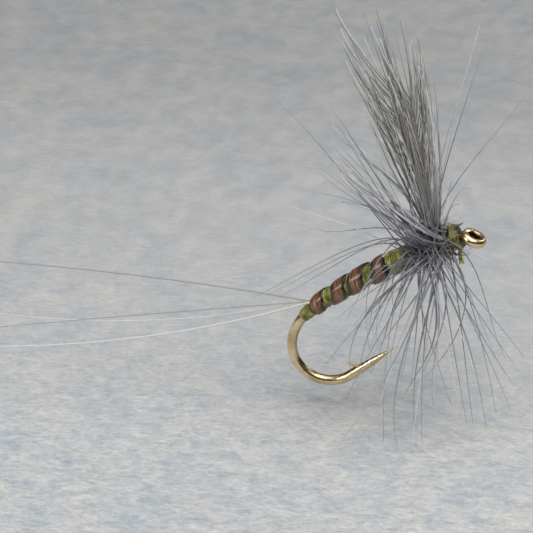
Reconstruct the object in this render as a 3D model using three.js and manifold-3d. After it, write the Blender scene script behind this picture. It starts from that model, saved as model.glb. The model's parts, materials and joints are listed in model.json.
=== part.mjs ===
// A dry fly tied on a barbed, down-eyed hook, standing on the tips of its hackle.
// Millimetres, +Z up, +X towards the eye. The hook lies in the XZ plane.
import * as THREE from "three";
import { mergeVertices } from "three/addons/utils/BufferGeometryUtils.js";
import Module from "manifold-3d";

const wasm = await Module();
wasm.setup();

// ---- driving dimensions ----
const STAND_HEIGHT = 11.45; // middle of the thread head above the surface that the fly stands on
const GAP = 0.025; // clearance between pieces that touch on the real fly
const JOIN_SLIVER = 0.003; // slivers thinner than this, left where shapes join, are dropped

// Hook. The wire is followed from the middle of the head, back along the shank and round to the point.
const WIRE_RADIUS = 0.285;
const SHANK_HEADING = 207; // degrees, the way the wire runs as it leaves the head
const WIRE_RUNS = [
  { length: 4.6, turn: 5 }, // front shank
  { length: 4.4, turn: 8 }, // rear shank
  { length: 1.35, turn: 12 }, // heel
  { length: 1.95, turn: 38 }, // upper bend
  { length: 4.66, turn: 129 }, // bend
  { length: 3.17, turn: 0 }, // point
];
const POINT_TAPER = [
  // distance from the tip of the point, share of the wire's radius
  [2.7, 1],
  [1.6, 0.78],
  [0.75, 0.44],
  [0, 0.06],
];
const EYE_CENTRE = { x: 1.0, z: 0.07 }; // from the middle of the head
const EYE_RING_RADIUS = 0.5;
const EYE_WIRE_RADIUS = 0.25;
const EYE_TILT = -22; // degrees, slope of the eye's plane
const NECK_START = -0.28; // where the wire leaves the shank's line for the eye
const NECK_END = 0.05; // how far the neck runs back inside the shank
const NECK_EASE = { shank: 0.98, eye: 0.96 }; // of the wire's radius, so that its ends lie inside the wire
const BARB_LENGTH = 0.98;
const BARB_FROM_POINT = 2.55;
const BARB_RADIUS = 0.19;
const BARB_TIP_RADIUS = 0.02;
const BARB_ANGLE = 164; // degrees, slope of the barb from its foot to its tip

// Thread and body. Each stretch is given by its distances from the middle of the head.
const HEAD = { from: -0.28, to: 0.32, radius: 0.66, endShare: 0.72, roundness: 0.6 };
const THORAX = { from: 0.36, to: 4.24, hackleSeat: 0.56, radius: 0.64 };
const UNDERBODY = { from: 4.28, to: 9.4, radius: 0.5, frontRadius: 0.6 };
const TAG = { from: 9.44, to: 10.38, radius: 0.43, endRadius: 0.34 };
const QUILL = { pitch: 1.4, nearSide: 4.8, width: 0.98, thickness: 0.075, crown: 0.02, from: 4.3, to: 9.38 };
const QUILL_END_ROOM = 0.06; // from each end of the underbody to the middle of the strip's end
const THREAD_END = { at: 0.05, length: 0.75, radius: 0.1, tipRadius: 0.09, forward: 0.1, nearer: 0.05 };
const RIDGE_PITCH = 0.4; // between the ridges of the wound thread
const RIDGE_DEPTH = 0.02;
const WAIST = 5.6; // where the underbody stops swelling towards the thorax
const THORAX_STEP = 2.78; // where the hackle's seat ends and the thorax swells
// Bundles bound down along the wire. Angle 0 is on top of the wire, 180 degrees under it.
const BUTT_SEAT = 0.385; // height of a bound-down bundle over the middle of the wire
const BUTT_END_ROOM = 0.04;
const TAIL_BUTTS = { from: 4.6, to: 9.34, width: 0.15, height: 0.075, angle: 0 };
const WING_BUTTS = { from: 0.95, to: 2.5, width: 0.13, height: 0.08, angle: 0 };
const HACKLE_BUTT = { from: 2.75, to: 4, width: 0.09, height: 0.08, angle: 180 };
const BORE_RADIUS = WIRE_RADIUS + GAP;
const HEAD_BORE_RADIUS = BORE_RADIUS + 0.06; // wider, as the wire bends down to the eye inside the head
const BORE_STEPS = 8;

// Tail fibres, which bow up or down and to one side. The slope and the heading away from the
// middle plane are in degrees, each where the fibre leaves the body and then at its tip.
const TAIL_TIE_IN = { at: 9.5, height: 0.53 };
const TAIL_FIBRES = [
  { name: "tail_fibre_1", side: 0.085, slope: [-6, 7], splay: [11, -5], length: 20.4, radius: 0.07 },
  { name: "tail_fibre_2", side: -0.085, slope: [-16, -2], splay: [5, -11], length: 20.8, radius: 0.07 },
  { name: "tail_fibre_3", side: -0.26, slope: [-21, 3], splay: [-7, -7], length: 21, radius: 0.08 },
  { name: "tail_fibre_4", side: 0.255, slope: [-20, -5], splay: [16, 2], length: 20.6, radius: 0.07 },
];
const TAIL_TIP_SHARE = 0.7; // of the radius at the root

// Wing: two hackle points back to back, each with its stem and vane. The vane's least width is a
// multiple of the stem's radius, and its outline is a sine raised to the two given powers.
const WING_TIE_IN = { at: 0.94, height: 0.78, sideShare: 0.55 };
const WING_FEATHERS = [
  { name: "wing_feather_near", side: -0.3, tip: { x: -3.6, z: 12.75 }, bow: 0.3, halfWidth: 1.15 },
  { name: "wing_feather_far", side: 0.3, tip: { x: -5.55, z: 13.8 }, bow: 0.75, halfWidth: 1.25 },
];
const WING_STEM = { root: 0.09, tip: 0.045 };
const VANE = { thickness: 0.07, leastWidth: 1.3, rise: 0.75, fullness: 0.8 };
const VANE_FROM = 0.06; // share of the stem that is left bare at its root

// Hackle: turns of stem round the thorax, each with its barbs.
const HACKLE_TURNS = [
  { name: "hackle_turn_1", at: 2.6 },
  { name: "hackle_turn_2", at: 2.27 },
  { name: "hackle_turn_3", at: 1.94 },
  { name: "hackle_turn_4", at: 1.61 },
  { name: "hackle_turn_5", at: 1.3 },
  { name: "hackle_turn_6", at: 0.56 },
];
const HACKLE_STEM = { ring: 0.7, radius: 0.095 };
const HACKLE_BARBS = 11; // in each turn
const HACKLE_PARTING = 24; // degrees either side of straight up that are left clear for the wing
const HACKLE_LEAN = { rear: -42, front: -12, spread: 11 }; // degrees forward of the turn's plane
const HACKLE_LENGTH = { up: 7.4, down: 11.2, spread: 1.1 };
const HACKLE_REACH = 8.3; // farthest that a barb reaches to either side
const HACKLE_BARB = { root: 0.05, tip: 0.014, curl: 0.05 };

// ---- materials ----
const finish = (color, roughness, metalness = 0) =>
  new THREE.MeshStandardMaterial({ color, roughness, metalness });
const BRONZED_STEEL = finish(0xb59a62, 0.22, 1);
const OLIVE_THREAD = finish(0x7d8a2a, 0.6);
const BROWN_QUILL = finish(0x5b3624, 0.35);
const DUN_FEATHER = finish(0x77777d, 0.5);
const TAIL_FIBRE = finish(0xb9b6b0, 0.35);

// ---- the wire's line ----
const radians = THREE.MathUtils.degToRad;
const NEAR = new THREE.Vector3(0, -1, 0);

// The place on the wire at distance s: its middle, the way it runs, and its outer side.
function onWire(s) {
  let x = 0;
  let z = STAND_HEIGHT;
  let heading = radians(SHANK_HEADING);
  let left = s;
  WIRE_RUNS.forEach((run, i) => {
    const step = i === 0 || left > 0 ? Math.min(left, run.length) : 0;
    const turn = step > 0 ? (radians(run.turn) * step) / run.length : 0;
    const chord = turn ? (2 * Math.sin(turn / 2) * step) / turn : step;
    x += chord * Math.cos(heading + turn / 2);
    z += chord * Math.sin(heading + turn / 2);
    heading += turn;
    left -= step;
  });
  return {
    origin: new THREE.Vector3(x, 0, z),
    along: new THREE.Vector3(Math.cos(heading), 0, Math.sin(heading)),
    outer: new THREE.Vector3(Math.sin(heading), 0, -Math.cos(heading)),
  };
}

const WIRE_LENGTH = WIRE_RUNS.reduce((sum, run) => sum + run.length, 0);

// A point beside the wire: angle 0 is its outer (upper) side, 90 degrees the near side.
function besideWire(s, radius, angle) {
  const spot = onWire(s);
  return spot.origin
    .clone()
    .addScaledVector(spot.outer, radius * Math.cos(angle))
    .addScaledVector(NEAR, radius * Math.sin(angle));
}

// ---- shapes ----
// Moves each vertex of a shape whose Y runs from 0 to 1 onto the frame found at that Y.
function bent(shape, frameAt) {
  const places = shape.getAttribute("position");
  for (let i = 0; i < places.count; i++) {
    const frame = frameAt(places.getY(i), places.getX(i), places.getZ(i));
    places.setXYZ(i, frame.x, frame.y, frame.z);
  }
  return shape;
}

// A solid of revolution round a curved line. The profile lists [radius, share of the way].
function turned(profile, sides, frameAt) {
  const outline = profile.map(([radius, share]) => new THREE.Vector2(radius, share));
  const shape = new THREE.LatheGeometry(outline, sides);
  return bent(shape, (share, across, up) => {
    const { origin, right, top } = frameAt(share);
    return origin.clone().addScaledVector(right, across).addScaledVector(top, up);
  });
}

function wireFrame(from, to) {
  return (share) => {
    const spot = onWire(from + (to - from) * share);
    return { origin: spot.origin, right: spot.outer, top: NEAR };
  };
}

// The frame along a free curve, held square to the curve by one steady direction.
function curveFrame(curve, steady) {
  return (share) => {
    const along = curve.getTangentAt(share);
    const right = new THREE.Vector3().crossVectors(steady, along).normalize();
    const top = new THREE.Vector3().crossVectors(right, along);
    return { origin: curve.getPointAt(share), right, top };
  };
}

// A tapering fibre with blunt ends along a curve.
function fibre(curve, root, tip, sides, steps, steady) {
  const profile = [[0, 0]];
  for (let i = 0; i <= steps; i++) {
    profile.push([root + ((tip - root) * i) / steps, i / steps]);
  }
  profile.push([0, 1]);
  return turned(profile, sides, curveFrame(curve, steady));
}

function solid(geometry) {
  const bare = geometry.clone();
  bare.deleteAttribute("normal");
  bare.deleteAttribute("uv");
  const merged = mergeVertices(bare, 1e-4);
  const index = Array.from(merged.index.array);
  const faces = [];
  for (let i = 0; i < index.length; i += 3) {
    const [a, b, c] = index.slice(i, i + 3);
    if (a !== b && b !== c && c !== a) faces.push(a, b, c);
  }
  return new wasm.Manifold(
    new wasm.Mesh({
      numProp: 3,
      vertProperties: new Float32Array(merged.getAttribute("position").array),
      triVerts: new Uint32Array(faces),
    }),
  );
}

function geometryOf(made) {
  const mesh = made.getMesh();
  const geometry = new THREE.BufferGeometry();
  geometry.setAttribute("position", new THREE.BufferAttribute(mesh.vertProperties, 3));
  geometry.setIndex(new THREE.BufferAttribute(mesh.triVerts, 1));
  geometry.computeVertexNormals();
  return geometry;
}

function piece(name, made, material) {
  const mesh = new THREE.Mesh(geometryOf(made), material);
  mesh.name = name;
  return mesh;
}

// A steady value between 0 and 1 for the k-th of a row of hand-laid fibres.
const scatter = (k) => (k * 0.6180339887) % 1;

// ---- hook ----
function eyeFrame() {
  const tilt = radians(EYE_TILT);
  return {
    centre: new THREE.Vector3(EYE_CENTRE.x, 0, STAND_HEIGHT + EYE_CENTRE.z),
    along: new THREE.Vector3(Math.cos(tilt), 0, Math.sin(tilt)),
    normal: new THREE.Vector3(-Math.sin(tilt), 0, Math.cos(tilt)),
  };
}

function hook() {
  const steps = 40;
  const profile = [[0, 0]];
  for (let i = 0; i <= steps; i++) {
    const toTip = WIRE_LENGTH * (1 - i / steps);
    profile.push([WIRE_RADIUS * pointShare(toTip), i / steps]);
  }
  profile.push([0, 1]);
  const wire = solid(turned(profile, 12, wireFrame(0, WIRE_LENGTH)));

  const { centre, along, normal } = eyeFrame();
  const ring = new THREE.TorusGeometry(EYE_RING_RADIUS, EYE_WIRE_RADIUS, 10, 20);
  ring.applyMatrix4(
    new THREE.Matrix4().makeBasis(along, new THREE.Vector3().crossVectors(normal, along), normal),
  );
  ring.translate(centre.x, centre.y, centre.z);

  const shankEnd = onWire(NECK_END).origin;
  const neckBend = onWire(NECK_START).origin;
  const ringBack = centre.clone().addScaledVector(along, -EYE_RING_RADIUS);
  const neck = fibre(
    new THREE.QuadraticBezierCurve3(shankEnd, neckBend, ringBack),
    WIRE_RADIUS * NECK_EASE.shank,
    EYE_WIRE_RADIUS * NECK_EASE.eye,
    12,
    5,
    NEAR,
  );

  const foot = onWire(WIRE_LENGTH - BARB_FROM_POINT).origin;
  const lift = radians(BARB_ANGLE);
  const tip = foot.clone().add(
    new THREE.Vector3(Math.cos(lift), 0, Math.sin(lift)).multiplyScalar(BARB_LENGTH),
  );
  const barb = fibre(new THREE.LineCurve3(foot, tip), BARB_RADIUS, BARB_TIP_RADIUS, 8, 2, NEAR);
  const made = wire.add(solid(ring)).add(solid(neck)).add(solid(barb));
  return piece("hook", made.simplify(JOIN_SLIVER), BRONZED_STEEL);
}

function pointShare(toTip) {
  const after = POINT_TAPER.findIndex(([distance]) => distance < toTip);
  if (after === 0) return 1;
  if (after < 0) return POINT_TAPER.at(-1)[1];
  const [farther, wide] = POINT_TAPER[after - 1];
  const [nearer, narrow] = POINT_TAPER[after];
  return narrow + ((wide - narrow) * (toTip - nearer)) / (farther - nearer);
}

// ---- thread, butts and quill ----
// Thread laid round the wire between two distances, with a shallow ridge for each turn.
function windings({ from, to }, radiusAt, sides, seat = BORE_RADIUS) {
  const turns = Math.max(2, Math.round((to - from) / RIDGE_PITCH));
  const profile = [[seat, 0]];
  for (let i = 0; i <= 2 * turns; i++) {
    const share = i / (2 * turns);
    const dip = i % 2 ? 0 : RIDGE_DEPTH;
    profile.push([radiusAt(share) - dip, share]);
  }
  for (let i = BORE_STEPS; i >= 0; i--) {
    profile.push([seat, i / BORE_STEPS]);
  }
  return solid(turned(profile, sides, wireFrame(from, to)));
}

// A bound-down bundle along the wire, or with a margin, the seat that it presses into the thread.
function butt({ from, to, width, height, angle }, margin = 0) {
  const ends = margin ? BUTT_END_ROOM : 0;
  const steps = 5;
  const profile = [[0, 0]];
  for (let i = 0; i <= steps; i++) {
    profile.push([1, i / steps]);
  }
  profile.push([0, 1]);
  return solid(
    turned(profile, 8, (share) => {
      const s = from - ends + (to - from + 2 * ends) * share;
      return {
        origin: besideWire(s, BUTT_SEAT, radians(angle)),
        right: onWire(s).outer.multiplyScalar(height + margin),
        top: NEAR.clone().multiplyScalar(width + margin),
      };
    }),
  );
}

function thorax() {
  const length = THORAX.to - THORAX.from;
  const shoulder = (THORAX_STEP - THORAX.from) / length;
  const radiusAt = (share) => {
    if (share < shoulder) return THORAX.hackleSeat;
    const back = (share - shoulder) / (1 - shoulder);
    return THORAX.hackleSeat + (THORAX.radius - THORAX.hackleSeat) * Math.sin(Math.PI * back) ** 0.5;
  };
  const made = windings(THORAX, radiusAt, 12)
    .subtract(butt(WING_BUTTS, GAP))
    .subtract(butt(HACKLE_BUTT, GAP));
  return piece("thread_thorax", made, OLIVE_THREAD);
}

function underbodyRadius(s) {
  const forward = Math.max(0, (WAIST - s) / (WAIST - UNDERBODY.from));
  return UNDERBODY.radius + (UNDERBODY.frontRadius - UNDERBODY.radius) * forward;
}

function underbody() {
  const length = UNDERBODY.to - UNDERBODY.from;
  const radiusAt = (share) => underbodyRadius(UNDERBODY.from + length * share);
  const made = windings(UNDERBODY, radiusAt, 12).subtract(butt(TAIL_BUTTS, GAP));
  return piece("thread_underbody", made, OLIVE_THREAD);
}

// One strip of quill wound in open turns, so that the thread shows between them.
function quill() {
  const first = QUILL.to - QUILL_END_ROOM;
  const last = QUILL.from + QUILL_END_ROOM;
  const turns = (first - last) / QUILL.pitch;
  const strip = new THREE.BoxGeometry(QUILL.width, 1, QUILL.thickness, 2, Math.round(turns * 18), 1);
  strip.translate(0, 0.5, 0);
  const wrapped = bent(strip, (share, across, up) => {
    const middle = first + (last - first) * share;
    const angle = Math.PI / 2 + (2 * Math.PI * (middle - QUILL.nearSide)) / QUILL.pitch;
    const s = THREE.MathUtils.clamp(middle - across, QUILL.from, QUILL.to);
    const crown = QUILL.crown * (1 - (2 * across) ** 2 / QUILL.width ** 2);
    const radius = underbodyRadius(s) + GAP + QUILL.thickness / 2 + (up > 0 ? up + crown : up);
    return besideWire(s, radius, angle);
  });
  return piece("body_quill", solid(wrapped), BROWN_QUILL);
}

function head() {
  const { radius, endShare, roundness } = HEAD;
  const swell = (share) => (1 - endShare) * Math.sin(Math.PI * share) ** roundness;
  const made = windings(HEAD, (share) => radius * (endShare + swell(share)), 12, HEAD_BORE_RADIUS);
  return piece("thread_head", made, OLIVE_THREAD);
}

function tag() {
  const radiusAt = (share) => TAG.radius + (TAG.endRadius - TAG.radius) * share ** 1.5;
  return piece("thread_tag", windings(TAG, radiusAt, 12), OLIVE_THREAD);
}

function threadEnd() {
  const { at, length, radius, tipRadius, forward, nearer } = THREAD_END;
  const top = besideWire(at, HEAD.radius + radius + GAP, Math.PI);
  const tip = top.clone().add(new THREE.Vector3(forward, -nearer, -length));
  const line = new THREE.LineCurve3(top, tip);
  return piece("thread_end", solid(fibre(line, radius, tipRadius, 8, 3, NEAR)), OLIVE_THREAD);
}

// ---- tail ----
// Each fibre bends steadily from the way it leaves the body to the way it points at its tip.
function tailFibre({ name, side, slope, splay, length, radius }) {
  const start = besideWire(TAIL_TIE_IN.at, TAIL_TIE_IN.height, 0);
  start.y = side;
  const steps = 12;
  const points = [start];
  for (let i = 0; i < steps; i++) {
    const share = (i + 0.5) / steps;
    const pitch = radians(THREE.MathUtils.lerp(...slope, share));
    const yaw = radians(THREE.MathUtils.lerp(...splay, share));
    const step = new THREE.Vector3(
      -Math.cos(pitch) * Math.cos(yaw),
      Math.cos(pitch) * Math.sin(yaw),
      Math.sin(pitch),
    );
    points.push(points[i].clone().addScaledVector(step, length / steps));
  }
  const curve = new THREE.CatmullRomCurve3(points);
  const shape = fibre(curve, radius, radius * TAIL_TIP_SHARE, 6, steps, new THREE.Vector3(0, 1, 0));
  return piece(name, solid(shape), TAIL_FIBRE);
}

// ---- wing ----
// A feather is one strip of five columns: the middle one is the stem, and the outer ones are the vane.
function wingFeather({ name, side, tip, bow, halfWidth }) {
  const root = besideWire(WING_TIE_IN.at, WING_TIE_IN.height, 0);
  root.y = side * WING_TIE_IN.sideShare;
  const end = new THREE.Vector3(tip.x, side, STAND_HEIGHT + tip.z);
  const middle = root.clone().lerp(end, 0.5);
  middle.x += bow;
  middle.y = side;
  const line = new THREE.QuadraticBezierCurve3(root, middle, end);

  const strip = new THREE.BoxGeometry(2, 1, 2, 4, 16, 1);
  strip.translate(0, 0.5, 0);
  bent(strip, (share, across, up) => {
    const stem = WING_STEM.root + (WING_STEM.tip - WING_STEM.root) * share;
    const vaned = Math.max(0, (share - VANE_FROM) / (1 - VANE_FROM));
    const swell = Math.sin(Math.PI * vaned ** VANE.rise) ** VANE.fullness;
    const width = Math.max(VANE.leastWidth * stem, halfWidth * swell);
    const column = Math.round(2 * Math.abs(across));
    const outward = Math.sign(across) * [0, stem, width][column];
    const thickness = [stem, Math.max(VANE.thickness / 2, 0.5 * stem), VANE.thickness / 2][column];
    const along = line.getTangentAt(share);
    const back = new THREE.Vector3(-along.z, 0, along.x).normalize();
    const spot = line.getPointAt(share).addScaledVector(back, outward);
    spot.y += Math.sign(up) * thickness;
    return spot;
  });
  return piece(name, solid(strip), DUN_FEATHER);
}

// ---- hackle ----
// One barb, bowed a little and laid out flat where it would pass through the surface below.
function hackleBarb(foot, outward, length, curl, forward) {
  const points = [0, 0.35, 0.7, 1].map((share) => {
    const spot = foot.clone().addScaledVector(outward, length * share);
    spot.addScaledVector(forward, curl * length * share * share);
    spot.z = Math.max(spot.z, HACKLE_BARB.root);
    return spot;
  });
  const sideways = new THREE.Vector3().crossVectors(outward, forward).normalize();
  const curve = new THREE.CatmullRomCurve3(points);
  return solid(fibre(curve, HACKLE_BARB.root, HACKLE_BARB.tip, 4, 3, sideways));
}

function hackleTurn({ name, at }, row) {
  const { origin, along, outer } = onWire(at);
  const forward = along.clone().negate();
  const ring = new THREE.TorusGeometry(HACKLE_STEM.ring, HACKLE_STEM.radius, 5, 14);
  const axle = new THREE.Vector3().crossVectors(outer, NEAR);
  ring.applyMatrix4(new THREE.Matrix4().makeBasis(outer, NEAR, axle));
  ring.translate(origin.x, origin.y, origin.z);
  let made = solid(ring);
  const rows = HACKLE_TURNS.length - 1;
  for (let i = 0; i < HACKLE_BARBS; i++) {
    const k = row * HACKLE_BARBS + i + 1;
    const round = (i + 0.5 + 0.6 * (scatter(3 * k) - 0.5)) / HACKLE_BARBS;
    const angle = radians(HACKLE_PARTING + (360 - 2 * HACKLE_PARTING) * round);
    const lean = radians(
      HACKLE_LEAN.rear +
        ((HACKLE_LEAN.front - HACKLE_LEAN.rear) * row) / rows +
        HACKLE_LEAN.spread * (2 * scatter(k) - 1),
    );
    const radial = outer
      .clone()
      .multiplyScalar(Math.cos(angle))
      .addScaledVector(NEAR, Math.sin(angle));
    const outward = radial
      .clone()
      .multiplyScalar(Math.cos(lean))
      .addScaledVector(forward, Math.sin(lean));
    const down = Math.max(0, -outward.z);
    const grown =
      HACKLE_LENGTH.up +
      (HACKLE_LENGTH.down - HACKLE_LENGTH.up) * down +
      HACKLE_LENGTH.spread * (2 * scatter(5 * k) - 1);
    const curl = HACKLE_BARB.curl * (2 * scatter(7 * k) - 1);
    const foot = besideWire(at, HACKLE_STEM.ring, angle);
    const length = Math.min(grown, (HACKLE_REACH - Math.abs(foot.y)) / Math.abs(outward.y));
    made = made.add(hackleBarb(foot, outward, length, curl, forward));
  }
  return piece(name, made.simplify(JOIN_SLIVER), DUN_FEATHER);
}

// ---- the fly ----
const fly = new THREE.Group();
fly.add(hook(), head(), threadEnd(), thorax(), underbody(), tag(), quill());
fly.add(piece("tail_butts", butt(TAIL_BUTTS), TAIL_FIBRE));
fly.add(piece("wing_butts", butt(WING_BUTTS), DUN_FEATHER));
fly.add(piece("hackle_butt", butt(HACKLE_BUTT), DUN_FEATHER));
TAIL_FIBRES.forEach((each) => fly.add(tailFibre(each)));
WING_FEATHERS.forEach((each) => fly.add(wingFeather(each)));
HACKLE_TURNS.forEach((each, row) => fly.add(hackleTurn(each, row)));

// The origin is under the middle of the fly, on the surface that it stands on.
const box = new THREE.Box3().setFromObject(fly);
fly.position.set(-(box.min.x + box.max.x) / 2, -(box.min.y + box.max.y) / 2, -box.min.z);

const group = new THREE.Group();
group.add(fly);
export default group;
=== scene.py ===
"""A dry fly on its hook, standing on the tips of its hackle: every thread, quill turn and barb is a strand.

Lengths are in millimetres until a mesh is made. Distances along the wire run from the middle of the
thread head back along the shank and round the bend, as in the part.
"""

import json
import math
import random

import bpy
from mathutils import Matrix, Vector


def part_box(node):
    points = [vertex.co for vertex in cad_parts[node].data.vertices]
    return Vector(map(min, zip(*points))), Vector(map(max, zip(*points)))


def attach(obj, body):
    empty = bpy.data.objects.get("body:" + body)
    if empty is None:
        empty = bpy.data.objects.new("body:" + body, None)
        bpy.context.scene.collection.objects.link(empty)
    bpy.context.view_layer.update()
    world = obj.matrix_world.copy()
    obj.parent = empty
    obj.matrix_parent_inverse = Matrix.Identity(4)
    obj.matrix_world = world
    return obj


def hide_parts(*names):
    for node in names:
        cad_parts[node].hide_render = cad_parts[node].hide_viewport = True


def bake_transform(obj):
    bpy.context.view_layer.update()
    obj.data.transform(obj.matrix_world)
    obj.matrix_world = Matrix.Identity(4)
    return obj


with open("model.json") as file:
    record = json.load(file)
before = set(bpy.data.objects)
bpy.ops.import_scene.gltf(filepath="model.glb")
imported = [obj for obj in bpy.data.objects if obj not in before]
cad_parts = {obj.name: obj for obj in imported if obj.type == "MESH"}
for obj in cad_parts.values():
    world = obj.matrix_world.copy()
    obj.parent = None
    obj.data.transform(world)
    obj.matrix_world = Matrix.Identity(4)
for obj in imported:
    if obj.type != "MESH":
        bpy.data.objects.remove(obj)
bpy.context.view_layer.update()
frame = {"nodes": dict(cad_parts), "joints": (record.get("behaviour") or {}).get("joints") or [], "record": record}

MM = 0.001
NEAR = Vector((0, -1, 0))
FAR = Vector((0, 1, 0))
UP = Vector((0, 0, 1))

# ---- where things are, from the frame ----
EYE_FROM_HEAD = Vector((1.0, 0, 0.07))
EYE_CENTRE = Vector(frame["record"]["mounts"][0]["pos_m"]) / MM
HEAD_CENTRE = EYE_CENTRE - EYE_FROM_HEAD
TIE_INS = {joint["child"]: Vector(joint["pos_m"]) / MM for joint in frame["joints"]}

# ---- camera ----
VIEW_AZIMUTH = math.radians(12)
VIEW_ELEVATION = math.radians(26.5)
VIEW_WIDTH = 29.3  # at the fly
HEAD_RIGHT_OF_MIDDLE = 10.37
HEAD_ABOVE_MIDDLE = 1.58
LENS = 200
SENSOR = 36


def camera():
    """A long lens, so that the fly is seen almost without perspective."""
    back = Vector((
        math.sin(VIEW_AZIMUTH) * math.cos(VIEW_ELEVATION),
        -math.cos(VIEW_AZIMUTH) * math.cos(VIEW_ELEVATION),
        math.sin(VIEW_ELEVATION),
    ))
    right = UP.cross(back).normalized()
    up = back.cross(right)
    aim = HEAD_CENTRE - right * HEAD_RIGHT_OF_MIDDLE - up * HEAD_ABOVE_MIDDLE
    data = bpy.data.cameras.new("camera")
    data.lens = LENS
    data.sensor_width = SENSOR
    data.clip_start = 0.005
    made = bpy.data.objects.new("camera", data)
    made.location = (aim + back * VIEW_WIDTH * LENS / SENSOR) * MM
    made.rotation_euler = back.to_track_quat("Z", "Y").to_euler()
    bpy.context.scene.collection.objects.link(made)
    bpy.context.scene.camera = made


camera()

# ---- sizes ----
WIRE_RADIUS = 0.285
SHANK_HEADING = 207  # degrees, the way the wire runs as it leaves the head
WIRE_RUNS = ((4.6, 5), (4.4, 8), (1.35, 12), (1.95, 38), (4.66, 129), (3.17, 0))  # length, turn in degrees
WIRE_LENGTH = sum(length for length, _ in WIRE_RUNS)
POINT_TAPER = ((0, 0.04), (0.75, 0.44), (1.6, 0.78), (2.7, 1))  # distance from the tip, share of the radius
EYE_RING_RADIUS = 0.5
EYE_WIRE_RADIUS = 0.27
EYE_TILT = math.radians(-22)
EYE_START = math.radians(-150)  # round the ring, where the shank's wire joins it
EYE_END = math.radians(166)  # where the wire's cut end stops
EYE_STEPS = 56  # round the ring
NECK_POINTS = 10
SHANK_STEPS = 230
WIRE_SIDES = 28
CUT_END_RADIUS = 0.15
SHANK_START = 0.1  # where the wire between eye and head has come onto the shank's line
# the side of the wire with a painted highlight along it
PAINTED_HIGHLIGHT_SIDE = Vector((-0.6, -0.75, 0.28))
PAINTED_SHADE_DEPTH = 0.62  # painted shade: how much duller the lacquer is painted on the side away from the painted highlight
EYE_REACH = 1.3  # of the ring's radius, within which wire belongs to the eye
EYE_LIT, EYE_DARK = 0.35, 0.8  # cosines to the eye's middle at which the painted shade on its wire starts and is full
BARB_FROM_POINT = 2.45
BARB_LENGTH = 1.0
BARB_ANGLE = math.radians(164)
BARB_TAPER = ((0, 0.24), (0.35, 0.19), (0.75, 0.09), (1, 0.015))  # share of its length, radius
BARB_SHADE = 0.4

THREAD_SEED, FRAY_SEED, HACKLE_SEED = 11, 5, 29
THREAD_RADIUS = 0.062
THREAD_PITCH = 0.115
THREAD_STEPS = 18  # in one turn
THREAD_SWAY = 0.014
THREAD_SHAKE = 0.004
CORE_ROWS = 26
CROSSINGS_PER_MM = 3.2
CROSSING_STEPS = 30
FRAYS = 9  # filaments in the cut end
FRAY_RING = 0.055
HEAD = (-0.38, 0.18)
HEAD_RADIUS = 0.75
HEAD_ENDS = 0.66  # of its radius
THORAX = (0.36, 4.24)
THORAX_FRONT_RADIUS = 0.56  # under the hackle
THORAX_STEP = 2.78  # where the hackle ends
THORAX_REAR_RADIUS = 0.58
THORAX_SWELL = 0.1
UNDERBODY = (4.28, 9.4)
UNDERBODY_REAR_RADIUS, UNDERBODY_FRONT_RADIUS = 0.42, 0.62
TAG = (9.44, 10.38)
TAG_FRONT_RADIUS, TAG_REAR_RADIUS = 0.43, 0.34
QUILL_PITCH = 1.4
QUILL_NEAR_SIDE = 4.8  # middle of a turn on the near side
QUILL_WIDTH = 1.0
QUILL_THICKNESS = 0.06
QUILL_CLOSE = 6.9  # where two turns lie nearly edge to edge
QUILL_UNEVEN = 0.1
QUILL_ENDS = (4.3, 9.38)
QUILL_END_ROOM = 0.06
QUILL_STEPS = 80  # in one turn
QUILL_COLUMNS = 14
QUILL_OFF_THREAD = 0.012
QUILL_CROWN = 0.055

PALE_AT_ROOT = 0.15  # how far a pale barb's paleness, partly painted glint, has come on at its root

PAPER_FRONT, PAPER_BACK = -30, 48  # how far forward and back of the fly the paper's tone and its painted falloff of light change
PAPER_FIBRES = (
    # how close they lie, slant in radians, strength and colour
    (0.5, 0.15, 0.3, (0.84, 0.81, 0.75)),
    (0.8, -0.2, 0.3, (0.44, 0.49, 0.55)),
    (1.1, 0.3, 0.3, (0.86, 0.86, 0.87)),
    (1.5, -0.1, 0.35, (0.44, 0.48, 0.53)),
)

FIBRE_BREADTH = 0.012  # of a noise contour, in noise values

HACKLE_RING = 0.66
HACKLE_FROM, HACKLE_TO = 0.3, 2.75
HACKLE_TURNS = 6
HACKLE_REACH = 8.3  # farthest that a barb reaches to either side
HACKLE_STEM_STEPS = 22
HACKLE_STEM_RADIUS = 0.08
HACKLE_BARB_POINTS = 19
FLUE_POINTS = 9
HAIR_TIP_RADIUS = 0.012  # of a barb or of down
TIP_HEIGHT = 0.03  # of the lowest tips over the paper
BEND_HEIGHT = 0.1  # least height of the middle of a barb


# ---- the wire's line ----
def on_wire(s):
    """The middle of the wire at s, the way it runs, and its outer (upper) side."""
    x, z = HEAD_CENTRE.x, HEAD_CENTRE.z
    heading = math.radians(SHANK_HEADING)
    left = s
    for i, (length, turn) in enumerate(WIRE_RUNS):
        step = min(left, length) if i == 0 or left > 0 else 0
        angle = math.radians(turn) * step / length if step > 0 else 0
        chord = 2 * math.sin(angle / 2) * step / angle if angle else step
        x += chord * math.cos(heading + angle / 2)
        z += chord * math.sin(heading + angle / 2)
        heading += angle
        left -= step
    along = Vector((math.cos(heading), 0, math.sin(heading)))
    outer = Vector((math.sin(heading), 0, -math.cos(heading)))
    return Vector((x, HEAD_CENTRE.y, z)), along, outer


def beside_wire(s, radius, angle):
    """A point beside the wire. Angle 0 is its outer side and a quarter turn is the near side."""
    middle, _, outer = on_wire(s)
    return middle + outer * radius * math.cos(angle) + NEAR * radius * math.sin(angle)


def between(a, b, share):
    return a + (b - a) * share


def stepped(table, x):
    """Straight-line reading of a short table of (x, value)."""
    for (x0, y0), (x1, y1) in zip(table, table[1:]):
        if x <= x1:
            return between(y0, y1, (x - x0) / (x1 - x0))
    return table[-1][1]


# ---- strands ----
ANY_SIDE = Vector((0.31, 0.87, 0.38))  # lies along no strand


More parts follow.
